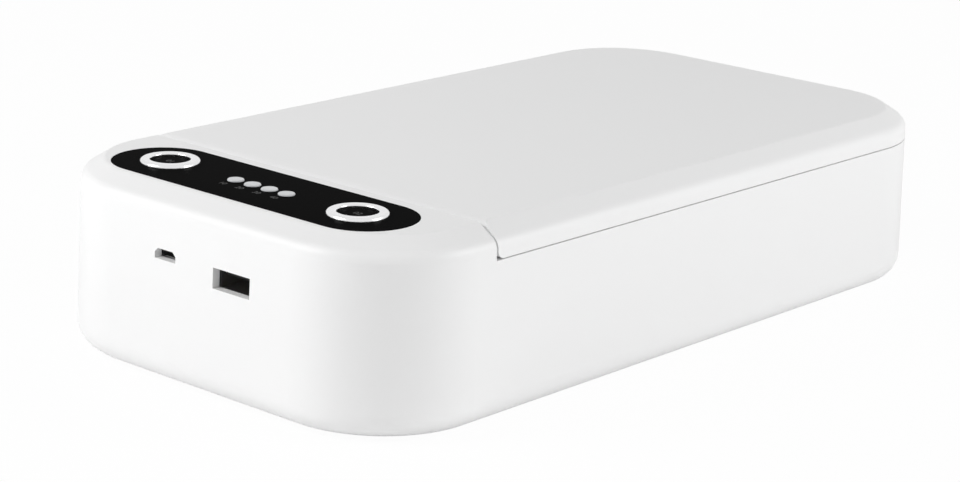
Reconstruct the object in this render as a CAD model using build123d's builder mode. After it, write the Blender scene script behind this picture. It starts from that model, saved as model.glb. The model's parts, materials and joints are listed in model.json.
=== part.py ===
from build123d import *
import math
import os

# Sterilizer box for phones: a flat rounded case with a control bay at its front end (-Y),
# a lid hinged across the bay's rear edge, and a lined chamber with a lamp below the lid.
# Origin on the resting plane under the middle of the box, +X right, +Y to the rear, +Z up.

# ---------------------------------------------------------------- driving sizes, millimetres
# case and lid
width = 121.5
length = 230.0
case_height = 48.0
draft_angle = 1.5
corner_radius = 29.4
bevel_run = 5.8
bevel_drop = 3.7
bevel_soft = (1.5, 3.5)
bottom_round = 6.4
wall = 2.2
base_thick = 3.2
foot_proud = 0.8

# parting between case and lid
bay_length = 36.4
hinge_gap = 0.6
seam_drop = 7.9
nose_radius = 2.9
nose_depth = 7.0
nose_foot = 2.0
seam_gap = 0.3
deck_thick = 2.2
skirt_wall = 2.0
lid_skin = 2.0

# hinge
hinge_offset = 44.0
ear_width = 3.5
ear_radius = 1.6
pin_radius = 0.8
pin_length = 15.0
running_gap = 0.05
pocket_gap = 0.35
block_width = 17.0
bracket_thick = 1.2
bracket_size = (13.0, 12.0)
hinge_screw_pitch = 8.6
nose_wall = 1.6

# control panel
panel_length = 94.6
panel_width = 26.3
panel_thick = 1.2
panel_inset = 6.8
bay_deck_thick = 3.0
button_offset = 32.1
bezel_radius = 7.5
bezel_bore = 5.0
bezel_neck = 6.3
bezel_rise = 1.0
button_gap = 0.2
button_rise = 0.2
button_travel = 0.5
flange_radius = 6.0
flange_height = 1.2
stem_radius = 2.4
cap_soft = 0.6
switch_height = 3.5
switch_size = 6.0
switch_floor = 0.8
plunger_radius = 1.7
plunger_rise = 1.5
lens_pitch = 5.8
lens_radius = 2.1
lens_count = 4
lens_proud = 0.1
pipe_bar = (5.0, 1.5)
led_size = (3.2, 1.8, 1.3)

# main board and sockets
board_drop = 14.2
board_thick = 1.6
board_width = 92.0
board_depth = 29.0
board_corner = 14.0
board_boss_offset = 22.0
usb_offset = 11.4
usb_opening = (12.4, 5.1)
usb_shell = (13.1, 6.4, 14.0)
usb_skin = 0.5
micro_offset = 11.4
micro_opening = (7.3, 2.6)
micro_shell = (7.7, 2.7, 6.0)
micro_skin = 0.3
usb_tongue = (10.8, 1.8)
micro_tongue = (4.4, 0.6)
coil_size = (15.0, 10.5, 8.0)
coil_flange = 1.5
coil_offset = 34.0
can_offset = 33.0
part_shift = 3.0
can_radius = 4.0
can_height = 9.0
chip_size = (5.0, 4.4, 1.5)
chip_places = (-14.0, 0.0)
plug_size = (9.0, 5.0, 5.0)
plug_offsets = (-12.0, 6.0)

# chamber
chamber_side = 14.25
chamber_front = 52.5
chamber_rear = 13.0
chamber_corner = 17.0
chamber_depth = 24.5
tray_wall = 1.6
flange_thick = 1.2
flange_margin = 0.6
flange_clear = 2.0
rib_count = 6
rib_pitch = 20.0
rib_margin = 12.0
rib_width = 2.4
rib_height = 3.0
trough_width = 14.0
trough_depth = 8.5
trough_length = 158.0

# lamps
lamp_radius = 2.5
lamp_length = 138.0
boot_length = 9.0
lid_boot_width = 8.0
boot_overlap = 4.0
lamp_tip = (1.2, 0.7)
lid_lamp_radius = 1.4
lid_lamp_length = 130.0
liner_thick = 1.4
liner_drop = 1.3
window_width = 18.0
liner_screw_inset = 7.0
lead_radius = 0.6

# scent holder in the chamber's front corner
scent_place = (-29.0, 14.0)
pad_radius = 9.0
pad_thick = 2.4
grille_thick = 1.0
grille_slot = (11.0, 1.2)
grille_pitch = 2.6
grille_count = 5
collar_wall = 1.5

# screws, magnets, underside
screw_radius = 1.0
cover_screw_reach = 9.0
board_screw_reach = 5.0
bore_spare = 1.0
screw_head = 1.9
head_thick = 1.2
cross_slot = (2.3, 0.6)
post_radius = 2.6
post_insets = (2.5, 22.0)
magnet_radius = 2.5
magnet_thick = 1.8
magnet_offset = 25.0
magnet_edge = 7.8
sensor_magnet_size = (6.0, 3.0)
sensor_board = (8.0, 5.0)
sensor_chip = (4.0, 3.0)
sensor_step = 1.0
sensor_drop = 2.4
cover_inset = 7.0
cover_lip = 2.5
cover_thick = 1.5
foot_radius = 5.0
foot_thick = 1.8
foot_inset = (23.0, 30.0)
foot_soft = 0.4
vent_pitch = 7.0
vent_count = 9
vent_size = (34.0, 1.6)
fit_gap = 0.2

# ---------------------------------------------------------------- places worked out from them
base_z = foot_proud
top_z = base_z + case_height
spread = case_height * math.tan(math.radians(draft_angle))
front_y = -length / 2
rear_y = length / 2
bay_edge_y = front_y + bay_length
nose_y = bay_edge_y + hinge_gap
axis_y = nose_y + nose_radius
axis_z = top_z - nose_radius
seam_z = top_z - seam_drop
rim_z = seam_z - seam_gap
deck_under = rim_z - deck_thick
bulkhead_y = bay_edge_y - deck_thick
bay_deck_under = top_z - bay_deck_thick
lid_roof = top_z - lid_skin
board_under = top_z - board_drop
panel_y = front_y + panel_inset + panel_width / 2
panel_seat = top_z - panel_thick
board_top = board_under + board_thick
board_y = bulkhead_y - board_depth / 2 - 1.5
usb_z = board_under - usb_shell[1] / 2
micro_z = board_under - micro_shell[1] / 2
board_screw_y = (panel_y - 8.6, panel_y + 8.0)
cover_top = base_z + cover_thick
socket_y = front_y + wall
chamber_width = width - 2 * chamber_side
chamber_y0 = front_y + chamber_front
chamber_y1 = rear_y - chamber_rear
chamber_y = (chamber_y0 + chamber_y1) / 2
chamber_length = chamber_y1 - chamber_y0
flange_top = rim_z + flange_thick
floor_z = flange_top - chamber_depth
trough_z = floor_z - trough_depth
lamp_z = (trough_z + floor_z - tray_wall) / 2
liner_under = seam_z + liner_drop
liner_top = liner_under + liner_thick
lid_lamp_z = liner_top + lid_lamp_radius + 0.15
scent_x = scent_place[0]
scent_y = chamber_y0 + scent_place[1]
magnet_y = rear_y - magnet_edge
sensor_low = deck_under - sensor_drop
post_x = chamber_width / 2 + tray_wall + fit_gap + post_radius
post_rows = (chamber_y0 + post_insets[0], chamber_y1 - post_insets[1])
post_points = [(sx * post_x, y) for y in post_rows for sx in (-1, 1)]
board_points = [(sx * board_boss_offset, y) for y in board_screw_y for sx in (-1, 1)]
lens_points = [((i - (lens_count - 1) / 2) * lens_pitch, panel_y) for i in range(lens_count)]
button_points = [(-button_offset, panel_y), (button_offset, panel_y)]
hinge_points = [(-hinge_offset, axis_y), (hinge_offset, axis_y)]
hinge_screw_points = [
    (side * hinge_offset + shift * hinge_screw_pitch / 2, axis_y) for side in (-1, 1) for shift in (-1, 1)
]
liner_rows = (chamber_y0 + liner_screw_inset, chamber_y, chamber_y1 - liner_screw_inset)
liner_points = [(sx * (chamber_width / 2 - liner_screw_inset), y) for y in liner_rows for sx in (-1, 1)]
lead_slot_x = -18.0

os.makedirs("parts", exist_ok=True)


# ---------------------------------------------------------------- shared forms
def case_form(inset, floor, roof, bevelled=False, lower_edge=0.0):
    """Rounded tapering block, inset from the outside of the case, from floor to roof."""
    slope = math.atan2(bevel_drop, bevel_run)
    drop = bevel_drop - inset * (1 - math.tan(math.pi / 4 - slope / 2)) if bevelled else 0
    run = bevel_run - inset * (1 - math.tan(slope / 2))
    shoulder = roof - drop
    with BuildPart() as form:
        with BuildSketch(Plane.XY.offset(floor)):
            out = spread * (top_z - floor) / case_height - inset
            RectangleRounded(width + 2 * out, length + 2 * out, corner_radius + out)
        extrude(amount=shoulder - floor, taper=draft_angle)
        if bevelled:
            with BuildSketch(Plane.XY.offset(shoulder)):
                out = spread * (top_z - shoulder) / case_height - inset
                RectangleRounded(width + 2 * out, length + 2 * out, corner_radius + out)
            extrude(amount=drop, taper=math.degrees(math.atan2(run, drop)))
        if lower_edge:
            fillet(form.edges().group_by(Axis.Z)[0], lower_edge)
    return form.part


def slab(x0, x1, y0, y1, z0, z1):
    """Plain block between six planes, made apart from any part."""
    centre = Pos((x0 + x1) / 2, (y0 + y1) / 2, (z0 + z1) / 2)
    return centre * Box(x1 - x0, y1 - y0, z1 - z0, mode=Mode.PRIVATE)


def keep(part, name):
    part.label = name
    export_step(part, f"parts/{name}.step")


def post(points, z0, z1, radius, mode=Mode.ADD):
    """Upright round posts, or holes, at the given points."""
    with BuildSketch(Plane.XY.offset(z0)) as outline:
        with Locations(*points):
            Circle(radius)
    extrude(outline.sketch, amount=z1 - z0, mode=mode)


def block(points, size_x, size_y, z0, z1, mode=Mode.ADD):
    """Upright square posts, or slots, at the given points."""
    with BuildSketch(Plane.XY.offset(z0)) as outline:
        with Locations(*points):
            Rectangle(size_x, size_y)
    extrude(outline.sketch, amount=z1 - z0, mode=mode)


def tube(x, y, z, radius, long):
    """Round bar lying along Y."""
    return Pos(x, y, z) * Rot(90, 0, 0) * Cylinder(radius, long, mode=Mode.PRIVATE)


def screws(points, head_z, tip_z):
    """Round-headed screws pointing up, as one group."""
    with BuildPart() as group:
        post(points, head_z, tip_z, screw_radius)
        post(points, head_z - head_thick, head_z, screw_head)
        low = group.faces().group_by(Axis.Z)[0]
        chamfer(low.edges(), head_thick * 0.3)
        for sizes in (cross_slot, cross_slot[::-1]):
            block(points, *sizes, head_z - head_thick, head_z - head_thick / 2, Mode.SUBTRACT)
    return group.part


def wire(points, radii):
    """A lead: straight runs joined by arcs."""
    with BuildPart() as lead:
        with BuildLine() as route:
            FilletPolyline(*points, radius=radii)
        with BuildSketch(Plane(origin=route.line @ 0, z_dir=route.line % 0)):
            Circle(lead_radius)
        sweep()
    return lead.part


with BuildPart() as outside:
    add(case_form(0, base_z, top_z, True, bottom_round))
    for level, radius in zip((top_z, top_z - bevel_drop), bevel_soft):
        fillet(outside.edges().filter_by_position(Axis.Z, level - 0.01, level + 0.01), radius)
outer_form = outside.part
far = length

# ---------------------------------------------------------------- main housing
inner_floor = base_z + base_thick
lid_place = slab(-far, far, bay_edge_y, far, rim_z, far)
below_deck = slab(-far, far, bulkhead_y, far, deck_under, far)
bay_space = case_form(wall, inner_floor, bay_deck_under, True, bottom_round - wall) - below_deck

with BuildPart() as main_housing:
    add(outer_form)
    add(lid_place, mode=Mode.SUBTRACT)
    add(bay_space, mode=Mode.SUBTRACT)
    # posts for the bottom cover and the main board
    post(post_points, cover_top, deck_under, post_radius)
    post(board_points, board_top, bay_deck_under, post_radius)
    post(post_points, cover_top, cover_top + cover_screw_reach + bore_spare, screw_radius, Mode.SUBTRACT)
    post(board_points, board_top, board_top + board_screw_reach + bore_spare, screw_radius, Mode.SUBTRACT)
    # rebate and opening for the bottom cover
    add(case_form(cover_inset, base_z - 1.0, cover_top), mode=Mode.SUBTRACT)
    opening = case_form(cover_inset + cover_lip, cover_top - 0.01, inner_floor)
    with BuildPart(mode=Mode.PRIVATE) as posts_kept:
        post(post_points, cover_top - 1.0, inner_floor + 1.0, post_radius)
    add(opening - posts_kept.part, mode=Mode.SUBTRACT)
    # mouth of the chamber
    mouth = chamber_width + 2 * tray_wall + 2 * fit_gap
    with BuildSketch(Plane.XY.offset(deck_under)):
        with Locations((0, chamber_y)):
            RectangleRounded(
                mouth, chamber_length + 2 * tray_wall + 2 * fit_gap, chamber_corner + tray_wall + fit_gap
            )
    extrude(amount=deck_thick, mode=Mode.SUBTRACT)
    # recess and holes of the control panel
    with BuildSketch(Plane.XY.offset(panel_seat)):
        with Locations((0, panel_y)):
            SlotOverall(panel_length + fit_gap, panel_width + fit_gap)
    extrude(amount=panel_thick, mode=Mode.SUBTRACT)
    post(button_points, bay_deck_under, panel_seat, bezel_neck, Mode.SUBTRACT)
    post(lens_points, bay_deck_under, panel_seat, lens_radius, Mode.SUBTRACT)
    # slots and screw holes of the hinge, and the lead's way up
    block(hinge_points, ear_width + fit_gap, 2 * ear_radius + fit_gap, deck_under, rim_z, Mode.SUBTRACT)
    post(hinge_screw_points, deck_under, rim_z - 0.5, screw_radius, Mode.SUBTRACT)
    post([(lead_slot_x, axis_y)], deck_under, rim_z, lead_radius + fit_gap, Mode.SUBTRACT)
    # socket openings in the front wall
    with BuildSketch(Plane.XZ.offset(-socket_y)) as socket_holes:
        with Locations((usb_offset, usb_z)):
            Rectangle(*usb_opening)
        with Locations((-micro_offset, micro_z)):
            Rectangle(*micro_opening)
        upper = socket_holes.vertices().filter_by(lambda v: v.X < 0 and v.Y > micro_z)
        chamfer(upper, micro_opening[1] * 0.4)
    extrude(amount=wall * 3, mode=Mode.SUBTRACT)
keep(main_housing.part, "main_housing")

# ---------------------------------------------------------------- underside
foot_points = [
    (sx * (width / 2 - foot_inset[0]), sy * (length / 2 - foot_inset[1])) for sx in (-1, 1) for sy in (-1, 1)
]
foot_seat = foot_thick
with BuildPart() as bottom_cover:
    add(case_form(cover_inset + fit_gap, base_z, cover_top))
    post(foot_points, base_z, foot_seat, foot_radius, Mode.SUBTRACT)
    post(post_points, base_z, cover_top, screw_radius, Mode.SUBTRACT)
    post(post_points, base_z, base_z + head_thick, screw_head, Mode.SUBTRACT)
    # vent slots under the lamp
    with BuildSketch(Plane.XY.offset(base_z)):
        with Locations((0, chamber_y)):
            with GridLocations(0, vent_pitch, 1, vent_count):
                SlotOverall(*vent_size)
    extrude(amount=cover_thick, mode=Mode.SUBTRACT)
keep(bottom_cover.part, "bottom_cover")
keep(screws(post_points, base_z + head_thick, cover_top + cover_screw_reach), "cover_screws")

foot_names = ("foot_front_left", "foot_rear_left", "foot_front_right", "foot_rear_right")
for name, point in zip(foot_names, foot_points):
    with BuildPart() as foot:
        post([point], 0, foot_seat, foot_radius)
        fillet(foot.edges().group_by(Axis.Z)[0], foot_soft)
    keep(foot.part, name)

# ---------------------------------------------------------------- control panel
with BuildPart() as control_panel:
    with BuildSketch(Plane.XY.offset(panel_seat)):
        with Locations((0, panel_y)):
            SlotOverall(panel_length, panel_width)
    extrude(amount=panel_thick)
    post(button_points, panel_seat, top_z, bezel_neck, Mode.SUBTRACT)
    post(lens_points, panel_seat, top_z, lens_radius, Mode.SUBTRACT)
keep(control_panel.part, "control_panel")

cap_top = top_z + button_rise
flange_top_z = bay_deck_under - fit_gap
flange_low_z = flange_top_z - flange_height
stem_low_z = board_top + switch_height + plunger_rise
for side, x in (("left", -button_offset), ("right", button_offset)):
    spot = [(x, panel_y)]
    with BuildPart() as ring:
        post(spot, bay_deck_under, top_z, bezel_neck)
        post(spot, top_z, top_z + bezel_rise, bezel_radius)
        fillet(ring.edges().group_by(Axis.Z)[-1], bezel_rise * 0.85)
        post(spot, bay_deck_under, top_z + bezel_rise, bezel_bore, Mode.SUBTRACT)
        fillet(ring.edges().group_by(Axis.Z)[-1], bezel_rise * 0.4)
    keep(ring.part, f"ring_{side}")
    with BuildPart() as button:
        post(spot, flange_top_z, cap_top, bezel_bore - button_gap)
        fillet(button.edges().group_by(Axis.Z)[-1], cap_soft)
        post(spot, flange_low_z, flange_top_z, flange_radius)
        post(spot, stem_low_z, flange_low_z, stem_radius)
    keep(button.part, f"button_{side}")
    with BuildPart() as plunger:
        post(spot, board_top + 2 * switch_floor, stem_low_z, plunger_radius)
    keep(plunger.part, f"plunger_{side}")
    with BuildPart() as switch:
        block(spot, switch_size, switch_size, board_top, board_top + switch_height)
        post(spot, board_top + switch_floor, board_top + switch_height, plunger_radius + 0.1, Mode.SUBTRACT)
    keep(switch.part, f"switch_{side}")

with BuildPart() as light_pipe:
    post(lens_points, board_top + led_size[2] + 0.5, top_z + lens_proud, lens_radius)
    block([(0, panel_y)], lens_pitch * lens_count, pipe_bar[0], bay_deck_under - pipe_bar[1], bay_deck_under)
keep(light_pipe.part, "light_pipe")

with BuildPart() as status_leds:
    block(lens_points, led_size[0], led_size[1], board_top, board_top + led_size[2])
    chamfer(status_leds.faces().group_by(Axis.Z)[-1].edges(), led_size[2] * 0.2)
keep(status_leds.part, "status_leds")

# ---------------------------------------------------------------- main board
board_front = board_y - board_depth / 2
board_rear = board_y + board_depth / 2
with BuildPart() as main_board:
    with BuildSketch(Plane.XY.offset(board_under)):
        with Locations((0, board_y)):
            Rectangle(board_width, board_depth)
    extrude(amount=board_thick)
    front_edges = main_board.edges().filter_by(Axis.Z).group_by(Axis.Y)[0]
    fillet(front_edges, board_corner)
    post(board_points, board_under, board_top, screw_radius, Mode.SUBTRACT)
keep(main_board.part, "main_board")
keep(screws(board_points, board_under, board_top + board_screw_reach), "board_screws")


def socket_shell(size, skin, x, z):
    """Sheet-metal socket shell, open to the front."""
    with BuildPart() as shell:
        with BuildSketch(Plane.XZ.offset(-socket_y)):
            with Locations((x, z)):
                Rectangle(size[0], size[1])
        extrude(amount=-size[2])
        with BuildSketch(Plane.XZ.offset(-socket_y)):
            with Locations((x, z)):
                Rectangle(size[0] - 2 * skin, size[1] - 2 * skin)
        extrude(amount=-(size[2] - 1.0), mode=Mode.SUBTRACT)
    return shell.part


keep(socket_shell(usb_shell, usb_skin, usb_offset, usb_z), "usb_a_shell")
keep(socket_shell(micro_shell, micro_skin, -micro_offset, micro_z), "micro_usb_shell")
usb_back = socket_y + usb_shell[2] - 1.0
micro_back = socket_y + micro_shell[2] - 1.0
with BuildPart() as usb_a_tongue:
    top = usb_z + usb_shell[1] / 2 - usb_skin - 0.4
    half = usb_tongue[0] / 2
    add(slab(usb_offset - half, usb_offset + half, socket_y + 1.0, usb_back, top - usb_tongue[1], top))
keep(usb_a_tongue.part, "usb_a_tongue")
with BuildPart() as micro_usb_tongue:
    half, top = micro_tongue[0] / 2, micro_z + micro_tongue[1] / 2
    low = top - micro_tongue[1]
    add(slab(-micro_offset - half, -micro_offset + half, socket_y + 0.8, micro_back, low, top))
keep(micro_usb_tongue.part, "micro_usb_tongue")

coil_spot = [(-coil_offset, board_y + part_shift)]
with BuildPart() as inverter_transformer:
    block(coil_spot, coil_size[0], coil_size[1], board_under - coil_size[2], board_under)
    fillet(inverter_transformer.edges().filter_by(Axis.Z), coil_flange)
    block(
        coil_spot,
        coil_size[0] * 0.6,
        coil_size[1] + 2 * coil_flange,
        board_under - coil_size[2] + coil_flange,
        board_under - coil_flange,
    )
keep(inverter_transformer.part, "inverter_transformer")
with BuildPart() as filter_capacitor:
    post([(can_offset, board_y + part_shift)], board_under - can_height, board_under, can_radius)
    fillet(filter_capacitor.edges().group_by(Axis.Z)[0], can_radius * 0.15)
keep(filter_capacitor.part, "filter_capacitor")
chip_y = board_rear - plug_size[1] - 4.5
with BuildPart() as control_chips:
    under_chips = [(x, chip_y) for x in chip_places]
    block(under_chips, chip_size[0], chip_size[1], board_under - chip_size[2], board_under)
    upper_chip = [(lens_pitch * 2, board_screw_y[1])]
    block(upper_chip, chip_size[1], chip_size[1], board_top, board_top + chip_size[2])
keep(control_chips.part, "control_chips")
plug_y = board_rear - plug_size[1] / 2 - 0.5
with BuildPart() as lead_sockets:
    plug_points = [(x, plug_y) for x in plug_offsets]
    block(plug_points, plug_size[0], plug_size[1], board_under - plug_size[2], board_under)
keep(lead_sockets.part, "lead_sockets")

# ---------------------------------------------------------------- chamber tray and base lamp
flange_front = nose_y + nose_depth + flange_clear
flange_inset = skirt_wall + flange_margin
with BuildPart() as chamber_tray:
    with BuildSketch(Plane.XY.offset(floor_z - tray_wall)):
        with Locations((0, chamber_y)):
            RectangleRounded(
                chamber_width + 2 * tray_wall, chamber_length + 2 * tray_wall, chamber_corner + tray_wall
            )
    extrude(amount=rim_z - floor_z + tray_wall)
    with BuildSketch(Plane.XY.offset(rim_z)):
        RectangleRounded(width - 2 * flange_inset, length - 2 * flange_inset, corner_radius - flange_inset)
        with Locations((0, flange_front - length)):
            Rectangle(width * 2, length * 2, mode=Mode.SUBTRACT)
    extrude(amount=flange_thick)
    trough_outside = (trough_width + 2 * tray_wall, trough_length + 2 * tray_wall)
    block([(0, chamber_y)], *trough_outside, trough_z - tray_wall, floor_z)
    with BuildSketch(Plane.XY.offset(floor_z)):
        with Locations((0, chamber_y)):
            RectangleRounded(chamber_width, chamber_length, chamber_corner)
    extrude(amount=chamber_depth, mode=Mode.SUBTRACT)
    block([(0, chamber_y)], trough_width, trough_length, trough_z, floor_z, Mode.SUBTRACT)
    # ribs that hold the phone off the floor
    with BuildSketch(Plane.XY.offset(floor_z)):
        for side in (-1, 1):
            with Locations((side * (chamber_width / 4 + 2.5), chamber_y + rib_pitch / 2)):
                with GridLocations(0, rib_pitch, 1, rib_count):
                    SlotOverall(chamber_width / 2 - rib_margin, rib_width)
    extrude(amount=rib_height)
    # collar of the scent holder
    post([(scent_x, scent_y)], floor_z, floor_z + rib_height, pad_radius + collar_wall)
    post([(scent_x, scent_y)], floor_z, floor_z + rib_height, pad_radius, Mode.SUBTRACT)
    # ways out for the lamp leads
    for way_y in (chamber_y - trough_length / 2, chamber_y + trough_length / 2):
        add(tube(0, way_y, lamp_z, lead_radius + 0.1, 5 * tray_wall), mode=Mode.SUBTRACT)
keep(chamber_tray.part, "chamber_tray")


with BuildPart() as base_lamp:
    add(tube(0, chamber_y, lamp_z, lamp_radius, lamp_length))
    fillet(base_lamp.edges().filter_by(GeomType.CIRCLE), lamp_tip[0])
keep(base_lamp.part, "base_lamp")

window_z = floor_z - tray_wall
boot_reach = trough_length / 2 - boot_length / 2
with BuildPart() as base_lamp_boots:
    boot_points = [(0, chamber_y - boot_reach), (0, chamber_y + boot_reach)]
    block(boot_points, trough_width, boot_length, trough_z, window_z)
    add(tube(0, chamber_y, lamp_z, lamp_radius, lamp_length), mode=Mode.SUBTRACT)
    add(tube(0, chamber_y, lamp_z, lead_radius, trough_length + 2), mode=Mode.SUBTRACT)
keep(base_lamp_boots.part, "base_lamp_boots")
with BuildPart() as base_lamp_window:
    block([(0, chamber_y)], trough_width, trough_length, window_z, floor_z)
keep(base_lamp_window.part, "base_lamp_window")

with BuildPart() as scent_pad:
    post([(scent_x, scent_y)], floor_z, floor_z + rib_height - grille_thick, pad_radius - 0.1)
keep(scent_pad.part, "scent_pad")
with BuildPart() as scent_grille:
    post([(scent_x, scent_y)], floor_z + rib_height - grille_thick, floor_z + rib_height, pad_radius)
    with BuildSketch(Plane.XY.offset(floor_z + rib_height - grille_thick)):
        with Locations((scent_x, scent_y)):
            with GridLocations(0, grille_pitch, 1, grille_count):
                SlotOverall(*grille_slot)
    extrude(amount=grille_thick, mode=Mode.SUBTRACT)
keep(scent_grille.part, "scent_grille")

# ---------------------------------------------------------------- hinge
bracket_z = deck_under - bracket_thick
for side, x in (("left", -hinge_offset), ("right", hinge_offset)):
    with BuildPart() as hinge_bracket:
        block([(x, axis_y)], *bracket_size, bracket_z, deck_under)
        with BuildSketch(Plane.YZ.offset(x - ear_width / 2)):
            with Locations((axis_y, axis_z)):
                Circle(ear_radius)
            with Locations((axis_y, (axis_z + deck_under) / 2)):
                Rectangle(2 * ear_radius, axis_z - deck_under)
        extrude(amount=ear_width)
        post(hinge_screw_points, bracket_z, deck_under, screw_radius, Mode.SUBTRACT)
        with BuildSketch(Plane.YZ.offset(x - ear_width)):
            with Locations((axis_y, axis_z)):
                Circle(pin_radius + running_gap)
        extrude(amount=2 * ear_width, mode=Mode.SUBTRACT)
    keep(hinge_bracket.part, f"hinge_bracket_{side}")
    with BuildPart() as hinge_pin:
        with BuildSketch(Plane.YZ.offset(x - pin_length / 2)):
            with Locations((axis_y, axis_z)):
                Circle(pin_radius)
        extrude(amount=pin_length)
    keep(hinge_pin.part, f"hinge_pin_{side}")
keep(screws(hinge_screw_points, bracket_z, rim_z - 0.8), "hinge_screws")

# ---------------------------------------------------------------- lid
with BuildPart() as lid_profile:
    with BuildSketch(Plane.YZ.offset(-width)) as side_view:
        with Locations((nose_y, seam_z)):
            Rectangle(far, seam_drop, align=(Align.MIN, Align.MIN))
        for corner, radius in ((0, nose_foot), (-1, nose_radius)):
            fillet(side_view.vertices().group_by(Axis.X)[0].sort_by(Axis.Y)[corner], radius)
    extrude(amount=2 * width)
solid_rear = nose_y + nose_depth
lid_space = case_form(skirt_wall, seam_z - 2.0, lid_roof, True)
lid_space -= slab(-far, far, -far, solid_rear, 0, far)
between = hinge_offset - block_width / 2
hollow_nose = slab(-between, between, nose_y + nose_wall, solid_rear + 0.01, 0, lid_roof)


def hinge_pocket(x, wide):
    """Room in the lid's nose for an upright ear, at every lid angle."""
    reach = ear_radius + pocket_gap
    with BuildPart() as pocket:
        with BuildSketch(Plane.YZ.offset(x - wide / 2)):
            with Locations((axis_y, axis_z)):
                Circle(reach)
            with Locations((axis_y + reach, axis_z)):
                Rectangle(seam_drop, seam_drop, align=(Align.MAX, Align.MAX))
            with Locations((axis_y, axis_z + reach)):
                Rectangle(seam_drop, seam_drop, align=(Align.MAX, Align.MAX))
        extrude(amount=wide)
    return pocket.part


with BuildPart() as lid_shell:
    add(outer_form)
    add(lid_profile.part, mode=Mode.INTERSECT)
    add(lid_space, mode=Mode.SUBTRACT)
    add(hollow_nose, mode=Mode.SUBTRACT)
    for x in (-hinge_offset, hinge_offset):
        add(hinge_pocket(x, ear_width + 0.8), mode=Mode.SUBTRACT)
        with BuildSketch(Plane.YZ.offset(x - pin_length / 2)):
            with Locations((axis_y, axis_z)):
                Circle(pin_radius)
        extrude(amount=pin_length, mode=Mode.SUBTRACT)
    add(hinge_pocket(lead_slot_x, 2 * lead_radius + 1.4), mode=Mode.SUBTRACT)
    post(liner_points, liner_top, lid_roof, post_radius)
    post(liner_points, liner_top, lid_roof - 0.4, screw_radius, Mode.SUBTRACT)
keep(lid_shell.part, "lid_shell")

liner_front = solid_rear + fit_gap
lid_window_length = lid_lamp_length + 2 * boot_length - boot_overlap
with BuildPart() as lid_liner:
    add(case_form(skirt_wall + fit_gap, liner_under, liner_top))
    add(slab(-far, far, -far, liner_front, 0, far), mode=Mode.SUBTRACT)
    block([(0, chamber_y)], window_width, lid_window_length, liner_under, liner_top, Mode.SUBTRACT)
    post(liner_points, liner_under, liner_top, screw_radius, Mode.SUBTRACT)
    post(liner_points, liner_under, liner_under + head_thick * 0.7, screw_head, Mode.SUBTRACT)
keep(lid_liner.part, "lid_liner")
with BuildPart() as liner_screws:
    post(liner_points, liner_under + head_thick * 0.7, lid_roof - 0.8, screw_radius)
    post(liner_points, liner_under, liner_under + head_thick * 0.7, screw_head)
    for sizes in (cross_slot, cross_slot[::-1]):
        block(liner_points, *sizes, liner_under, liner_under + head_thick / 3, Mode.SUBTRACT)
keep(liner_screws.part, "liner_screws")
with BuildPart() as lid_lamp_window:
    block([(0, chamber_y)], window_width, lid_window_length, liner_under, liner_top)
keep(lid_lamp_window.part, "lid_lamp_window")
with BuildPart() as lid_lamp:
    add(tube(0, chamber_y, lid_lamp_z, lid_lamp_radius, lid_lamp_length))
    fillet(lid_lamp.edges().filter_by(GeomType.CIRCLE), lamp_tip[1])
keep(lid_lamp.part, "lid_lamp")
lid_boot_reach = lid_lamp_length / 2 + boot_length / 2 - boot_overlap
with BuildPart() as lid_lamp_boots:
    boot_points = [(0, chamber_y - lid_boot_reach), (0, chamber_y + lid_boot_reach)]
    block(boot_points, lid_boot_width, boot_length, liner_top, lid_roof)
    add(tube(0, chamber_y, lid_lamp_z, lid_lamp_radius, lid_lamp_length), mode=Mode.SUBTRACT)
keep(lid_lamp_boots.part, "lid_lamp_boots")

# ---------------------------------------------------------------- magnets and lid sensor
magnet_points = [(-magnet_offset, magnet_y), (magnet_offset, magnet_y)]
with BuildPart() as lid_magnets:
    post(magnet_points, liner_top, liner_top + magnet_thick, magnet_radius)
keep(lid_magnets.part, "lid_magnets")
with BuildPart() as base_magnets:
    post(magnet_points, deck_under - magnet_thick, deck_under, magnet_radius)
keep(base_magnets.part, "base_magnets")
with BuildPart() as sensor_magnet:
    block([(0, magnet_y)], *sensor_magnet_size, liner_top, liner_top + magnet_thick)
keep(sensor_magnet.part, "sensor_magnet")
with BuildPart() as lid_sensor:
    block([(0, magnet_y)], *sensor_board, deck_under - sensor_step, deck_under)
    block([(0, magnet_y)], *sensor_chip, sensor_low, deck_under - sensor_step)
keep(lid_sensor.part, "lid_sensor")

# ---------------------------------------------------------------- leads
trough_front = chamber_y - trough_length / 2
trough_rear = chamber_y + trough_length / 2
plug_low = board_under - plug_size[2]
lead_low = inner_floor + 3.0
lead_mid = deck_under - 16.0
side_x = 30.0
pin_step = 2.0
front_lead = wire(
    [
        (0, trough_front, lamp_z),
        (0, trough_front - 9.0, lamp_z),
        (plug_offsets[1] - pin_step, trough_front - 16.0, lamp_z + 4.0),
        (plug_offsets[1] - pin_step, plug_y, lead_mid),
        (plug_offsets[1] - pin_step, plug_y, plug_low),
    ],
    3.0,
)
rear_lead = wire(
    [
        (0, trough_rear, lamp_z),
        (0, trough_rear + 6.0, lamp_z),
        (side_x, trough_rear + 2.0, lead_low),
        (side_x, trough_front, lead_low),
        (plug_offsets[1] + pin_step, bulkhead_y + 2.0, lamp_z + 6.0),
        (plug_offsets[1] + pin_step, plug_y, lead_mid),
        (plug_offsets[1] + pin_step, plug_y, plug_low),
    ],
    [2.4, 4.0, 4.0, 3.0, 2.4],
)
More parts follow.
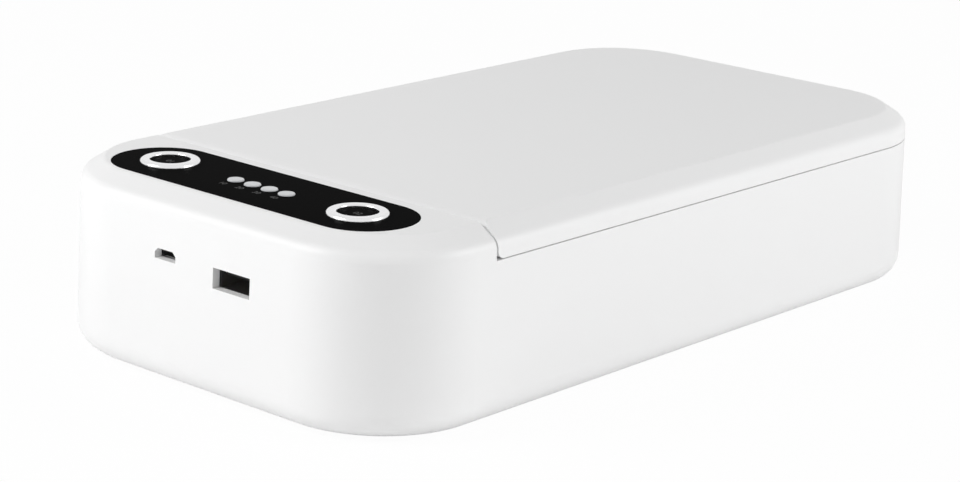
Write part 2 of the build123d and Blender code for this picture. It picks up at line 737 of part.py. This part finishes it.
sensor_lead = wire(
    [
        (0, magnet_y, sensor_low),
        (0, magnet_y, lead_low + 5.0),
        (-side_x, trough_rear - 6.0, lead_low),
        (-side_x, trough_front, lead_low),
        (plug_offsets[0] + pin_step, plug_y, lead_mid),
        (plug_offsets[0] + pin_step, plug_y, plug_low),
    ],
    [3.0, 4.0, 4.0, 3.0],
)
riser_lead = wire(
    [
        (plug_offsets[0] - pin_step, plug_y, plug_low),
        (plug_offsets[0] - pin_step, plug_y, plug_low - 7.0),
        (lead_slot_x, axis_y, plug_low - 7.0),
        (lead_slot_x, axis_y, axis_z),
        (lead_slot_x + 4.0, axis_y, axis_z),
    ],
    [2.4, 2.4, 1.6],
)
with BuildPart() as base_leads:
    add(front_lead)
    add(rear_lead)
    add(sensor_lead)
    add(riser_lead)
keep(base_leads.part, "base_leads")
lid_boot_front = chamber_y - lid_lamp_length / 2 - boot_length + boot_overlap
with BuildPart() as lid_leads:
    add(
        wire(
            [
                (0, lid_boot_front, lid_lamp_z),
                (0, axis_y, axis_z),
                (lead_slot_x + 4.3, axis_y, axis_z),
            ],
            4.0,
        )
    )
keep(lid_leads.part, "lid_leads")
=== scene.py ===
import json
import math
import bpy
from mathutils import Matrix, Vector


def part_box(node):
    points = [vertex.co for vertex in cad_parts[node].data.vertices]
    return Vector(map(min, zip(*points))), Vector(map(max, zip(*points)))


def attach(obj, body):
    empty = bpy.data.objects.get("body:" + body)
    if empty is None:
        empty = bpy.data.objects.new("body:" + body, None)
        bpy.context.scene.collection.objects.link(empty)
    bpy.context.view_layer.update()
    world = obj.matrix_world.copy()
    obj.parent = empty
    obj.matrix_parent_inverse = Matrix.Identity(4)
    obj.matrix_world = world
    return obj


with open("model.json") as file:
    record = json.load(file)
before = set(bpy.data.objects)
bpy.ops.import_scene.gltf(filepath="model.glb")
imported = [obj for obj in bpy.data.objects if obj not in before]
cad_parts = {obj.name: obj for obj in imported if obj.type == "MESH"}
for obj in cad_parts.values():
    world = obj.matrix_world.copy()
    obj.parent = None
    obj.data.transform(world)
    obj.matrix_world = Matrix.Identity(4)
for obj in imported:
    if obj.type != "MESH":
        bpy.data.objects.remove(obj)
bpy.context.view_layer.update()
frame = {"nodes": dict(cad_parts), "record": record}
print("frame loaded:", len(frame["nodes"]), "nodes")

mm = 0.001

# ---- camera: the photograph's view of the control end, low and from the right
camera = {
    "place": Vector((441.1, -525.7, 212.7)) * mm,
    "right": Vector((0.75001, 0.66040, 0.03666)),
    "down": Vector((0.20785, -0.18272, -0.96094)),
    "forward": Vector((-0.62791, 0.72834, -0.27431)),
    "lens": 99.56,
    "sensor": 36.0,
}


def makeCamera():
    data = bpy.data.cameras.new("camera")
    data.lens = camera["lens"]
    data.sensor_width = camera["sensor"]
    data.sensor_fit = "HORIZONTAL"
    data.clip_start = 0.01
    data.clip_end = 20
    eye = bpy.data.objects.new("camera", data)
    bpy.context.scene.collection.objects.link(eye)
    turn = Matrix((camera["right"], -camera["down"], -camera["forward"])).transposed().to_4x4()
    eye.matrix_world = Matrix.Translation(camera["place"]) @ turn
    bpy.context.scene.camera = eye


makeCamera()
bpy.context.scene.view_settings.view_transform = "Standard"
print("camera set")


# ---- shader helpers
class Signal:
    # a number carried by a shader socket, so that maths reads as maths
    def __init__(self, finish, socket):
        self.finish = finish
        self.socket = socket

    def join(self, operation, first, second=None):
        return self.finish.math(operation, first, second)

    def __add__(self, other):
        return self.join("ADD", self, other)

    def __radd__(self, other):
        return self.join("ADD", other, self)

    def __sub__(self, other):
        return self.join("SUBTRACT", self, other)

    def __rsub__(self, other):
        return self.join("SUBTRACT", other, self)

    def __mul__(self, other):
        return self.join("MULTIPLY", self, other)


class Finish:
    # one procedural material around a single Principled shader
    def __init__(self, name, **fixed):
        self.material = bpy.data.materials.new(name)
        self.material.use_nodes = True
        self.tree = self.material.node_tree
        self.shader = self.tree.nodes["Principled BSDF"]
        for key, value in fixed.items():
            self.set(key.replace("_", " "), value)
        self.place = self.node("ShaderNodeTexCoord", {}, {}, "Object")

    def set(self, name, value):
        socket = self.shader.inputs[name]
        self.feed(socket, value)

    def feed(self, socket, value):
        if isinstance(value, Signal):
            self.tree.links.new(value.socket, socket)
        else:
            socket.default_value = value

    def node(self, kind, settings, inputs, output=0):
        made = self.tree.nodes.new(kind)
        for key, value in settings.items():
            if key == "stops":
                ramp = made.color_ramp
                while len(ramp.elements) < len(value):
                    ramp.elements.new(0.5)
                for element, (at, shade) in zip(ramp.elements, value):
                    element.position = at
                    element.color = shade if len(shade) == 4 else (*shade, 1)
            else:
                setattr(made, key, value)
        for key, value in inputs.items():
            self.feed(made.inputs[key], value)
        return Signal(self, made.outputs[output])

    def math(self, operation, first, second=None):
        values = [first] if second is None else [first, second]
        return self.node("ShaderNodeMath", {"operation": operation}, dict(enumerate(values)))

    def axes(self):
        split = self.node("ShaderNodeSeparateXYZ", {}, {0: self.place})
        node = split.socket.node
        return [Signal(self, node.outputs[i]) for i in range(3)]

    def noise(self, scale, detail=3.0, stretch=None, rough=0.5):
        where = self.place
        if stretch:
            where = self.node("ShaderNodeMapping", {}, {"Vector": self.place, "Scale": stretch})
        return self.node(
            "ShaderNodeTexNoise", {}, {"Vector": where, "Scale": scale, "Detail": detail, "Roughness": rough}
        )

    def blendColours(self, mask, first, second):
        return self.node(
            "ShaderNodeMix", {"data_type": "RGBA"}, {0: mask, 6: (*first, 1), 7: (*second, 1)}, 2
        )

    def mixOver(self, mask, first, second):
        return self.node("ShaderNodeMix", {"data_type": "RGBA"}, {0: mask, 6: first, 7: (*second, 1)}, 2)

    def bump(self, height, strength, distance):
        made = self.node("ShaderNodeBump", {}, {"Height": height, "Strength": strength, "Distance": distance})
        self.set("Normal", made)

    def clamp(self, value, low, high, toLow=0.0, toHigh=1.0):
        return self.node(
            "ShaderNodeMapRange",
            {"clamp": True},
            {"Value": value, "From Min": low, "From Max": high, "To Min": toLow, "To Max": toHigh},
        )


# ---- finishes
whiteShell = {"bright": (0.93, 0.93, 0.93), "dull": (0.905, 0.905, 0.905), "rough": 0.34}


def shellFinish(name, grain=1.0):
    # satin moulded plastic: faint flow marks, fine spark-eroded grain, a few soft rub marks
    made = Finish(name, Specular_IOR_Level=0.35)
    flow = made.noise(scale=9.0, detail=4.0, stretch=(1, 0.35, 1))
    grainNoise = made.noise(scale=2600.0, detail=2.0)
    rub = made.clamp(made.noise(scale=46.0, detail=6.0, stretch=(1, 3.2, 1), rough=0.7), 0.58, 0.76)
    made.set("Base Color", made.blendColours(flow, whiteShell["bright"], whiteShell["dull"]))
    made.set("Roughness", whiteShell["rough"] + grainNoise * 0.05 + rub * 0.06 + flow * 0.03)
    made.bump(grainNoise * grain + flow * 0.4, strength=0.05, distance=0.00006)
    return made.material


def panelFinish(name, lift=0.0):
    # gloss black overlay with the faintest orange peel and dust
    made = Finish(name, IOR=1.012)
    peel = made.noise(scale=700.0, detail=2.0)
    dust = made.clamp(made.noise(scale=5200.0, detail=0.0), 0.80, 0.84)
    made.set("Base Color", made.blendColours(dust, (0.0035 + lift,) * 3, (0.03,) * 3))
    made.set("Roughness", 0.16 + peel * 0.06 + dust * 0.3)
    made.bump(peel, strength=0.04, distance=0.00003)
    return made.material


def platedFinish(name, tone=0.8, rough=0.2, colours=None):
    # plated metal with a fine brushed line
    made = Finish(name, Metallic=1.0)
    lines = made.noise(scale=900.0, detail=3.0, stretch=(1, 1, 8))
    stain = made.noise(scale=60.0, detail=4.0)
    bright, dull = colours or ((tone,) * 3, (tone * 0.9, tone * 0.9, tone * 0.91))
    made.set("Base Color", made.blendColours(stain, bright, dull))
    made.set("Roughness", rough + lines * 0.1)
    made.bump(lines, strength=0.05, distance=0.00002)
    return made.material


def rubberFinish(name, colour):
    made = Finish(name, Specular_IOR_Level=0.3)
    speck = made.noise(scale=1800.0, detail=4.0)
    chalk = made.clamp(made.noise(scale=120.0, detail=5.0), 0.5, 0.75)
    pale = tuple(c * 1.5 + 0.01 for c in colour)
    made.set("Base Color", made.blendColours(chalk, colour, pale))
    made.set("Roughness", 0.72 + speck * 0.15)
    made.bump(speck, strength=0.3, distance=0.00008)
    return made.material


def mouldFinish(name, colour, rough=0.5):
    made = Finish(name, Specular_IOR_Level=0.35)
    speck = made.noise(scale=2400.0, detail=3.0)
    cloud = made.noise(scale=35.0, detail=3.0)
    deep = tuple(c * 0.9 for c in colour)
    made.set("Base Color", made.blendColours(cloud, colour, deep))
    made.set("Roughness", rough + speck * 0.12)
    made.bump(speck, strength=0.12, distance=0.00005)
    return made.material


def mirrorFinish(name):
    # vacuum-metallised plastic: bright, slightly wavy, with pinholes and wipe marks
    made = Finish(name)
    wave = made.noise(scale=55.0, detail=3.0)
    wipe = made.noise(scale=300.0, detail=4.0, stretch=(1, 0.12, 1))
    pin = made.clamp(made.noise(scale=1900.0, detail=1.0), 0.77, 0.8)
    made.set("Base Color", made.blendColours(pin, (0.83, 0.84, 0.855), (0.6, 0.6, 0.6)))
    made.set("Metallic", 1.0 - pin * 0.8)
    made.set("Roughness", 0.13 + wipe * 0.16)
    made.bump(wave + wipe * 0.1, strength=0.12, distance=0.0003)
    return made.material


def glassFinish(name, tint=(0.93, 0.96, 1.0)):
    made = Finish(name, Transmission_Weight=1.0, IOR=1.46, Base_Color=(*tint, 1))
    smear = made.noise(scale=90.0, detail=5.0, stretch=(1, 0.3, 1))
    made.set("Roughness", 0.02 + made.clamp(smear, 0.55, 0.8) * 0.1)
    made.bump(made.noise(scale=25.0, detail=2.0), strength=0.05, distance=0.0002)
    return made.material


def lensFinish(name):
    # milky clear light pipe, faintly cloudy
    made = Finish(name, Specular_IOR_Level=0.5)
    cloud = made.noise(scale=420.0, detail=2.0)
    made.set("Base Color", made.blendColours(cloud, (0.72, 0.73, 0.74), (0.56, 0.57, 0.59)))
    made.set("Roughness", 0.18 + cloud * 0.1)
    made.bump(cloud, strength=0.08, distance=0.00005)
    return made.material


def boardFinish(name):
    # solder mask over copper tracks, with a speckle of vias
    made = Finish(name, Specular_IOR_Level=0.5)
    cells = made.node(
        "ShaderNodeTexVoronoi", {"feature": "DISTANCE_TO_EDGE", "distance": "MANHATTAN"},
        {"Vector": made.place, "Scale": 260.0},
    )
    tracks = made.clamp(cells, 0.05, 0.07, 1.0, 0.0)
    vias = made.node("ShaderNodeTexVoronoi", {}, {"Vector": made.place, "Scale": 330.0})
    hole = made.clamp(vias, 0.12, 0.15, 1.0, 0.0)
    masked = made.blendColours(tracks, (0.008, 0.1, 0.035), (0.02, 0.2, 0.08))
    made.set("Base Color", made.mixOver(hole, masked, (0.75, 0.55, 0.25)))
    made.set("Metallic", hole * 0.9)
    made.set("Roughness", 0.32 - tracks * 0.05)
    made.bump(tracks + hole * 0.6, strength=0.4, distance=0.00005)
    return made.material


def feltFinish(name):
    made = Finish(name, Specular_IOR_Level=0.2)
    hair = made.noise(scale=3200.0, detail=5.0, stretch=(1, 0.3, 1), rough=0.8)
    clump = made.noise(scale=500.0, detail=3.0)
    made.set("Base Color", made.blendColours(hair, (0.86, 0.85, 0.80), (0.7, 0.69, 0.65)))
    made.set("Roughness", 0.95 - clump * 0.05)
    made.bump(hair + clump, strength=0.8, distance=0.0003)
    return made.material


def coilFinish(name):
    # yellow tape round the winding, dark ferrite above and below it
    made = Finish(name, Specular_IOR_Level=0.4)
    height = made.axes()[2]
    low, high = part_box("inverter_transformer")
    middle = (low.z + high.z) / 2
    band = made.clamp(made.math("ABSOLUTE", height - middle), 2.2 * mm, 2.4 * mm, 1, 0)
    speck = made.noise(scale=2200.0, detail=3.0)
    made.set("Base Color", made.blendColours(band, (0.04, 0.038, 0.036), (0.72, 0.5, 0.05)))
    made.set("Roughness", 0.65 - band * 0.3 + speck * 0.1)
    made.bump(speck, strength=0.3, distance=0.00008)
    return made.material


def leadFinish(name, colours):
    # insulated leads: one colour to the left of the box's middle, another to the right
    made = Finish(name, Specular_IOR_Level=0.45)
    side = made.clamp(made.axes()[0], -0.5 * mm, 0.5 * mm)
    scuff = made.noise(scale=900.0, detail=3.0)
    made.set("Base Color", made.blendColours(side, *colours))
    made.set("Roughness", 0.36 + scuff * 0.2)
    made.bump(scuff, strength=0.1, distance=0.00004)
    return made.material


def printFinish(name, tone):
    # screen-printed ink, thin and slightly broken
    made = Finish(name, Specular_IOR_Level=0.1)
    gap = made.clamp(made.noise(scale=2600.0, detail=3.0), 0.45, 0.62)
    made.set("Base Color", made.blendColours(gap, (tone,) * 3, (tone * 0.55,) * 3))
    made.set("Roughness", 0.6 + gap * 0.1)
    return made.material


finishes = {
    "white_plastic": shellFinish("whitePlastic"),
    "black_panel": panelFinish("blackPanel"),
    "button_black": panelFinish("blackCap", 0.002),
    "silver_ring": platedFinish("silverRing", 0.82, 0.14),
    "clear_lens": lensFinish("clearLens"),
    "black_rubber": rubberFinish("blackRubber", (0.018, 0.018, 0.018)),
    "boot_rubber": rubberFinish("greySilicone", (0.55, 0.55, 0.53)),
    "steel": platedFinish("zincSteel", 0.7, 0.28),
    "socket_steel": platedFinish("socketSheet", 0.5, 0.3),
    "socket_plastic": mouldFinish("blackMoulding", (0.016, 0.016, 0.017)),
    "plunger_plastic": mouldFinish("plungerMoulding", (0.02, 0.02, 0.022)),
    "led_white": mouldFinish("ivoryMoulding", (0.8, 0.78, 0.7)),
    "board_green": boardFinish("solderMask"),
    "coil_ferrite": coilFinish("tapedCoil"),
    "can_aluminium": platedFinish("canSleeve", 0.75, 0.3),
    "mirror_tray": mirrorFinish("mirrorLining"),
    "lamp_glass": glassFinish("quartzGlass"),
    "scent_felt": feltFinish("scentFelt"),
    "grille_plastic": mouldFinish("grilleMoulding", (0.86, 0.86, 0.86), 0.4),
    "magnet_nickel": platedFinish("nickelMagnet", 0.72, 0.18),
    "lead_sleeve": leadFinish("leadSleeve", ((0.5, 0.02, 0.02), (0.03, 0.03, 0.035))),
}


def dressNodes():
    slotOf = {part["node"]: part["material_slot"] for part in frame["record"]["subparts"]}
    for name, thing in frame["nodes"].items():
        thing.data.materials.clear()
        thing.data.materials.append(finishes[slotOf[name]])


dressNodes()
print("nodes dressed")


# ---- modelling helpers
def leaveAll():
    if bpy.context.mode != "OBJECT":
        bpy.ops.object.mode_set(mode="OBJECT")
    bpy.ops.object.select_all(action="DESELECT")


def settle(name):
    # the new object's place goes into its mesh
    thing = bpy.context.active_object
    thing.name = name
    thing.data.name = name
    bpy.ops.object.transform_apply(location=True, rotation=True, scale=True)
    return thing


def bevelled(name, size, centre, width, segments=2):
    leaveAll()
    bpy.ops.mesh.primitive_cube_add(size=1, location=centre, scale=size)
    thing = settle(name)
    edge = thing.modifiers.new("edge", "BEVEL")
    edge.width = width
    edge.segments = segments
    edge.limit_method = "ANGLE"
    bpy.ops.object.modifier_apply(modifier=edge.name)
    return thing


def rod(name, radius, depth, centre, turn=(0, 0, 0), width=0.0, sides=48):
    leaveAll()
    bpy.ops.mesh.primitive_cylinder_add(
        radius=radius, depth=depth, location=centre, rotation=turn, vertices=sides
    )
    thing = settle(name)
    if width:
        edge = thing.modifiers.new("edge", "BEVEL")
        edge.width = width
        edge.segments = 4
        edge.limit_method = "ANGLE"
        bpy.ops.object.modifier_apply(modifier=edge.name)
    bpy.ops.object.shade_smooth_by_angle(angle=math.radians(35))
    return thing


def joined(name, things):
    leaveAll()
    for thing in things:
        thing.select_set(True)
    bpy.context.view_layer.objects.active = things[0]
    if len(things) > 1:
        bpy.ops.object.join()
    whole = bpy.context.active_object
    whole.name = name
    whole.data.name = name
    return whole


def place(thing, body, material):
    thing.data.materials.clear()
    thing.data.materials.append(material)
    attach(thing, body)
    return thing


def lettering(name, words, size, centre, depth):
    # flat figures, given a little thickness and made a mesh
    leaveAll()
    bpy.ops.object.text_add(location=centre)
    thing = bpy.context.active_object
    thing.data.body = words
    thing.data.size = size
    thing.data.align_x = "CENTER"
    thing.data.align_y = "CENTER"
    thing.data.extrude = depth
    bpy.ops.object.convert(target="MESH")
    return settle(name)


# ---- control panel: lenses, figures and marks
panel = {
    "lensDome": 0.35 * mm,
    "lensRadius": 2.05 * mm,
    "ledWidth": 3.2 * mm,
    "figureSize": 2.3 * mm,
    "figureDrop": 4.3 * mm,
    "figures": ("10", "20", "30", "40"),
    "capSize": 2.4 * mm,
    "capMarks": {"left": "01", "right": "02"},
    "inkDepth": 0.012 * mm,
}


def lensCentres():
    low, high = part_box("status_leds")
    count = len(panel["figures"])
    pitch = (high.x - low.x - panel["ledWidth"]) / (count - 1)
    middle = (low.y + high.y) / 2
    return [Vector(((i - (count - 1) / 2) * pitch, middle, 0)) for i in range(count)]


def dressPanel():
    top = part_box("control_panel")[1].z
    ink = printFinish("greyInk", 0.10)
    domes = []
    figures = []
    for words, centre in zip(panel["figures"], lensCentres()):
        at = Vector((centre.x, centre.y, top + panel["lensDome"] / 2))
        dome = rod("lens", panel["lensRadius"], panel["lensDome"], at, width=panel["lensDome"] * 0.6)
        domes.append(dome)
        at = Vector((centre.x, centre.y - panel["figureDrop"], top + panel["inkDepth"]))
        figures.append(lettering("figure", words, panel["figureSize"], at, panel["inkDepth"]))
    place(joined("lens_domes", domes), "base", finishes["clear_lens"])
    place(joined("panel_figures", figures), "base", ink)
    for side, words in panel["capMarks"].items():
        low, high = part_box(f"button_{side}")
        at = Vector(((low.x + high.x) / 2, (low.y + high.y) / 2, high.z + panel["inkDepth"]))
        mark = lettering(f"cap_mark_{side}", words, panel["capSize"], at, panel["inkDepth"])
        place(mark, f"button_{side}", ink)


dressPanel()
print("panel dressed")

# ---- sockets: contacts on the tongues
socket = {
    "usbCount": 4,
    "usbPitch": 2.3 * mm,
    "usbStrip": (1.1 * mm, 9.0 * mm, 0.18 * mm),
    "microCount": 5,
    "microPitch": 0.65 * mm,
    "microStrip": (0.35 * mm, 3.2 * mm, 0.08 * mm),
    "setBack": 0.5 * mm,
    "gold": ((0.9, 0.68, 0.3), (0.8, 0.58, 0.24)),
    "goldRough": 0.22,
}


def contactRow(name, node, count, pitch, strip):
    low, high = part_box(node)
    middle = (low.x + high.x) / 2
    strips = []
    for i in range(count):
        x = middle + (i - (count - 1) / 2) * pitch
        at = Vector((x, low.y + strip[1] / 2 + socket["setBack"], low.z - strip[2] / 2))
        strips.append(bevelled("strip", strip, at, strip[2] * 0.4))
    gold = platedFinish(name + "Gold", rough=socket["goldRough"], colours=socket["gold"])
    place(joined(name, strips), "base", gold)


contactRow("usb_contacts", "usb_a_tongue", socket["usbCount"], socket["usbPitch"], socket["usbStrip"])
contactRow(
    "micro_contacts", "micro_usb_tongue", socket["microCount"], socket["microPitch"], socket["microStrip"]
)
print("sockets dressed")

# ---- lamps: an electrode in both ends of each tube
electrode = {
    "turns": 7,
    "pitch": 0.75 * mm,
    "wire": 0.16 * mm,
    "share": 0.45,
    "inset": 6.5 * mm,
    "gap": 0.6 * mm,
}


def electrodes(name, node, body):
    low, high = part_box(node)
    middle = (low + high) / 2
    radius = (high.z - low.z) / 2 * electrode["share"]
    across = (math.radians(90), 0, 0)
    made = []
    for end, inward in ((low.y, 1), (high.y, -1)):
        for i in range(electrode["turns"]):
            at = Vector((middle.x, end + inward * (electrode["inset"] + i * electrode["pitch"]), middle.z))
            leaveAll()
            bpy.ops.mesh.primitive_torus_add(
                location=at, rotation=across, major_radius=radius, minor_radius=electrode["wire"],
                major_segments=28, minor_segments=8,
            )
            made.append(settle("turn"))
            bpy.ops.object.shade_smooth()
        reach = electrode["inset"] - electrode["gap"]
        at = Vector((middle.x, end + inward * (electrode["gap"] + reach / 2), middle.z))
        made.append(rod("stem", electrode["wire"], reach, at, across, sides=10))
    place(joined(name, made), body, finishes["steel"])


electrodes("base_electrodes", "base_lamp", "base")
electrodes("lid_electrodes", "lid_lamp", "lid")
print("lamps dressed")

# ---- main board: rows of small soldered parts on its underside
chip = {
    "size": (1.6 * mm, 0.8 * mm, 0.45 * mm),
    "cap": 0.35 * mm,
    "edge": (0.05 * mm, 0.06 * mm),
    "pitch": (3.2 * mm, 2.2 * mm),
    "clear": 2.4 * mm,
}


def chipRows(name, behind, columns, rows):
    # a grid of chip resistors behind the socket named
    low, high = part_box(behind)
    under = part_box("main_board")[0].z
    long, deep, tall = chip["size"]
    bodies = []
    caps = []
    for i in range(columns):
        for j in range(rows):
            x = low.x + long + i * chip["pitch"][0]
            y = high.y + chip["clear"] + j * chip["pitch"][1]
            at = Vector((x, y, under - tall / 2))
            core = (long - 2 * chip["cap"], deep * 0.96, tall * 0.94)
            bodies.append(bevelled("body", core, at, chip["edge"][0]))
            for side in (-1, 1):
                tip = at + Vector((side * (long - chip["cap"]) / 2, 0, 0))
                caps.append(bevelled("cap", (chip["cap"], deep, tall), tip, chip["edge"][1]))
    place(joined(name + "_bodies", bodies), "base", finishes["socket_plastic"])
    place(joined(name + "_caps", caps), "base", finishes["steel"])


chipRows("right_resistors", "usb_a_shell", 4, 2)
chipRows("left_resistors", "micro_usb_shell", 3, 3)
print("board dressed")

# ---- floor, world and lamps
studio = {
    "zenith": 0.12,
    "horizon": 0.95,
    "fall": 1.6,
    "floorSize": 3.0,
    "floorWhite": 0.965,
    "lamps": {
        "front": {"from": Vector((-0.40, -0.72, 0.55)), "size": 0.45, "power": 4.9},
        "side": {"from": Vector((1.20, 0.70, 0.65)), "size": 0.7, "power": 10.3},
    },
}


def rayMask(finish, names):
    # 1 for the rays named, 0 for the rest
    path = finish.tree.nodes.new("ShaderNodeLightPath")
    rays = [Signal(finish, path.outputs[name]) for name in names]
    mask = rays[0]
    for ray in rays[1:]:
        mask = finish.math("MAXIMUM", mask, ray)
    return mask


def makeFloor():
    leaveAll()
    bpy.ops.mesh.primitive_plane_add(size=studio["floorSize"], location=(0, 0, 0))
    floor = settle("floor")
    made = Finish("studioFloor", Specular_IOR_Level=0.0, Base_Color=(0.97, 0.97, 0.97, 1), Roughness=0.9)
    floor.data.materials.append(made.material)
    glow = made.node("ShaderNodeEmission", {}, {"Strength": 1.0})
    seen = rayMask(made, ("Is Camera Ray",)) * studio["floorWhite"]
    body = Signal(made, made.shader.outputs[0])
    mixed = made.node("ShaderNodeMixShader", {}, {0: seen, 1: body, 2: glow})
    made.feed(made.tree.nodes["Material Output"].inputs[0], mixed)


class Sky(Finish):
    # white walls all round that dim towards the ceiling; a plain white background for the camera
    def __init__(self, name):
        self.world = bpy.data.worlds.new(name)
        self.world.use_nodes = True
        self.tree = self.world.node_tree
        self.place = self.node("ShaderNodeTexCoord", {}, {}, "Generated")


def makeWorld():
    sky = Sky("studio")
    bpy.context.scene.world = sky.world
    height = sky.axes()[2]
    level = 1.0 - sky.math("ABSOLUTE", height)
    spread = studio["horizon"] - studio["zenith"]
    walls = sky.math("POWER", level, studio["fall"]) * spread + studio["zenith"]
    seen = rayMask(sky, ("Is Camera Ray", "Is Glossy Ray", "Is Transmission Ray"))
    back = sky.tree.nodes["Background"]
    sky.feed(back.inputs["Color"], (1, 1, 1, 1))
    sky.feed(back.inputs["Strength"], seen + (1.0 - seen) * walls)


def makeLamps():
    for name, spec in studio["lamps"].items():
        data = bpy.data.lights.new(name, "AREA")
        data.shape = "SQUARE"
        data.size = spec["size"]
        data.energy = spec["power"]
        lamp = bpy.data.objects.new(name, data)
        bpy.context.scene.collection.objects.link(lamp)
        turn = (-spec["from"]).to_track_quat("-Z", "Y").to_matrix().to_4x4()
        lamp.matrix_world = Matrix.Translation(spec["from"]) @ turn


makeFloor()
makeWorld()
makeLamps()
print("studio lit")
